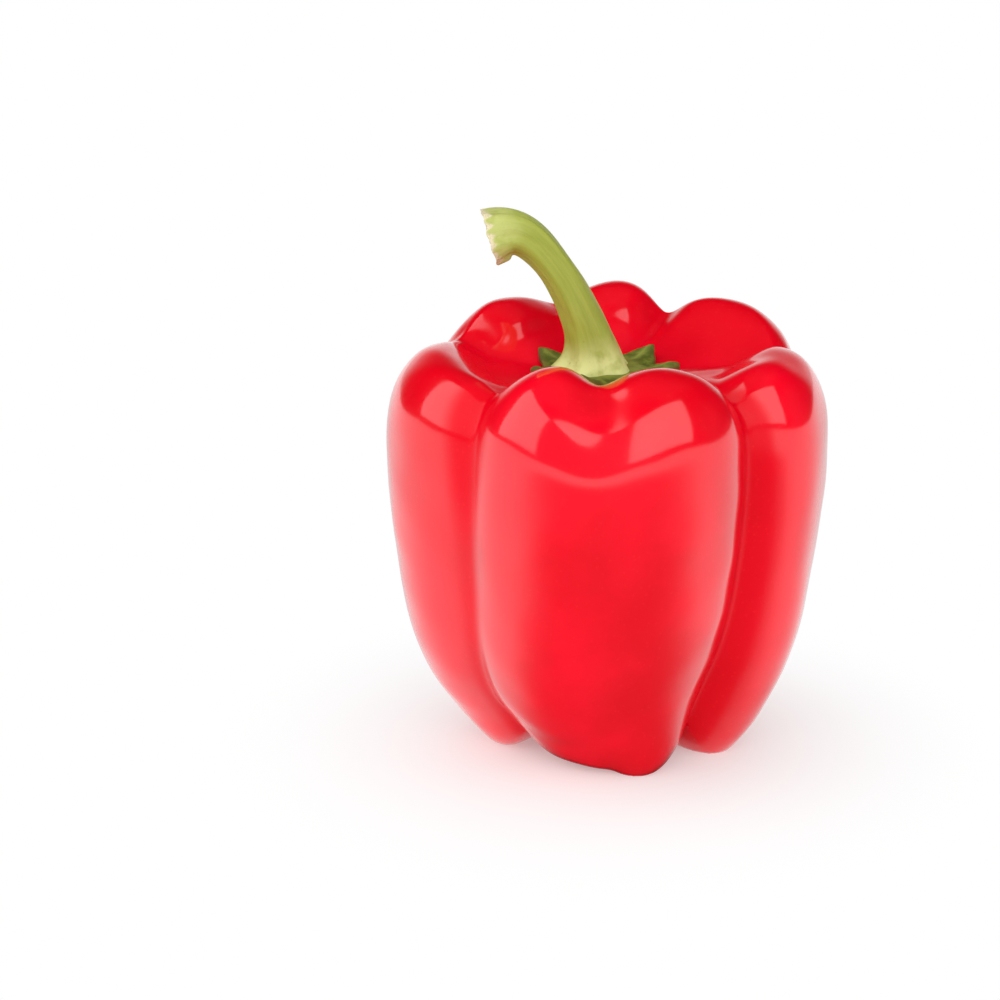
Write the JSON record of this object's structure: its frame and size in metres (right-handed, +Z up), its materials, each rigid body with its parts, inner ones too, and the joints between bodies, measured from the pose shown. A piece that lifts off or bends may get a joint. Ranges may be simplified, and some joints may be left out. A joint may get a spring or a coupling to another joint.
{
  "type": "bell pepper",
  "caption": "Whole ripe red bell pepper with swollen lobes, a green calyx in the hollow at the top and a curved cut stalk, standing upright on its lobes.",
  "frame": {"origin": "middle of the bounding box in plan, on the surface that the pepper stands on", "axes": "+Z up through the fruit towards the stalk; the stalk leans over to -X; the broad double lobe faces -Y"},
  "size_m": [0.088, 0.0844, 0.1111],
  "materials": {
    "skin": "glossy, waxy red skin",
    "calyx": "dull, mottled dark green",
    "stem": "satin, light green, with a pale corky cut end"
  },
  "bodies": {
    "root": {"fruit": "skin", "calyx": "calyx", "stem": "stem"}
  },
  "joints": []
}
